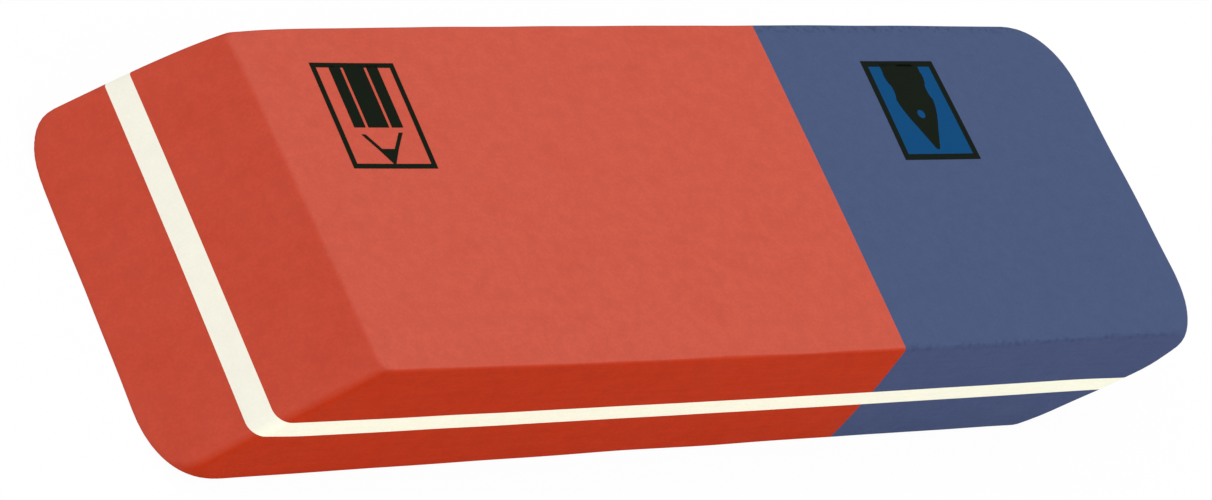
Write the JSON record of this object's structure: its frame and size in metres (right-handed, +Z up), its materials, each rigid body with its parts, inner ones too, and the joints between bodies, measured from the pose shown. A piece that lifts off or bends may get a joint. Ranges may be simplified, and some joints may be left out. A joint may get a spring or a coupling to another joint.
{
  "type": "rubber eraser",
  "caption": "Flat rubber eraser block with slanted ends, a red part for pencil, a blue part for ink and a thin white layer through the middle.",
  "frame": {"origin": "on the resting face, below the middle of the overall length and width", "axes": "+X along the length towards the blue end, +Y from the front face to the back face, +Z up through the layers"},
  "size_m": [0.0586, 0.02, 0.0077],
  "materials": {
    "red_rubber": "matt soft rubber, faintly chalky",
    "blue_rubber": "matt gritty rubber",
    "white_rubber": "matt smooth rubber"
  },
  "bodies": {
    "root": {"red_lower_layer": "red_rubber", "blue_lower_layer": "blue_rubber", "white_middle_layer": "white_rubber", "red_upper_layer": "red_rubber", "blue_upper_layer": "blue_rubber"}
  },
  "joints": []
}
